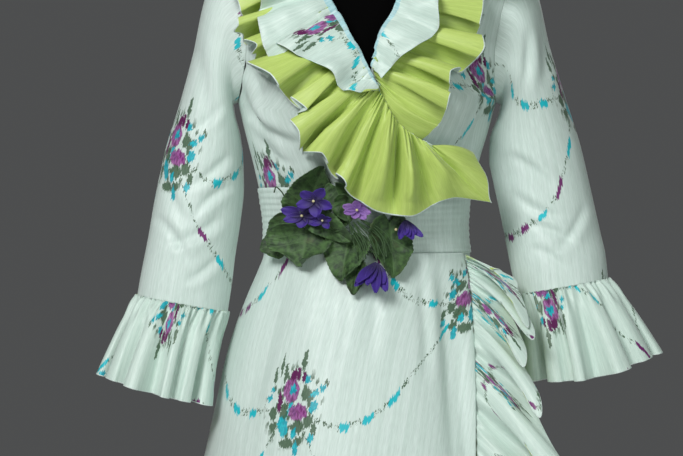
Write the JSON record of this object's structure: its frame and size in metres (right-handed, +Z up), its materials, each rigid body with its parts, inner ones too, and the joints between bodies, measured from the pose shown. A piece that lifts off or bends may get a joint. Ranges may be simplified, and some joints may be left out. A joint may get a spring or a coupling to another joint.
{
  "type": "taffeta dress on a limbless dress form",
  "caption": "Floor-length wrap dress in flower-printed taffeta with a fluted neck ruffle, flounced cuffs and a violet corsage, on a black form and stand.",
  "frame": {"origin": "centre of the stand's underside, on the floor", "axes": "+Z up; the front of the dress faces -Y; the wearer's left is at +X"},
  "size_m": [0.7248, 0.6331, 1.505],
  "materials": {
    "printed_taffeta": "pale mint taffeta with a warp-printed flower pattern, soft sheen",
    "chartreuse_taffeta": "chartreuse taffeta, soft sheen",
    "violet_petal": "matte silk petal",
    "pale_petal": "matte silk petal",
    "leaf_green": "matte stiffened cloth leaf",
    "black_jersey": "matte black jersey cover",
    "black_steel": "satin black paint"
  },
  "bodies": {
    "root": {"bodice_front_right": "printed_taffeta", "bodice_front_left": "printed_taffeta", "bodice_back": "printed_taffeta", "waistband": "printed_taffeta", "skirt_front_right": "printed_taffeta", "skirt_front_left": "printed_taffeta", "skirt_back": "printed_taffeta", "sleeve_right": "printed_taffeta", "sleeve_left": "printed_taffeta", "cuff_flounce_right": "printed_taffeta", "cuff_flounce_left": "printed_taffeta", "neck_ruffle_right": "chartreuse_taffeta", "neck_ruffle_left": "chartreuse_taffeta", "neck_frill_right": "printed_taffeta", "neck_frill_left": "printed_taffeta", "skirt_ruffle": "printed_taffeta", "corsage_leaf_top": "leaf_green", "corsage_leaf_left": "leaf_green", "corsage_leaf_low": "leaf_green", "corsage_leaf_middle": "leaf_green", "corsage_leaf_inner": "leaf_green", "corsage_leaf_tail": "leaf_green", "corsage_leaf_right": "leaf_green", "violet_upper": "violet_petal", "violet_lower": "violet_petal", "violet_half_open": "violet_petal", "violet_pale": "pale_petal", "violet_right": "violet_petal", "violet_hanging": "violet_petal", "corsage_stem_1": "leaf_green", "corsage_stem_2": "leaf_green", "corsage_stem_3": "leaf_green", "corsage_stem_4": "leaf_green", "corsage_stem_5": "leaf_green", "dress_form": "black_jersey", "form_pole": "black_steel", "form_base": "black_steel"}
  },
  "joints": []
}
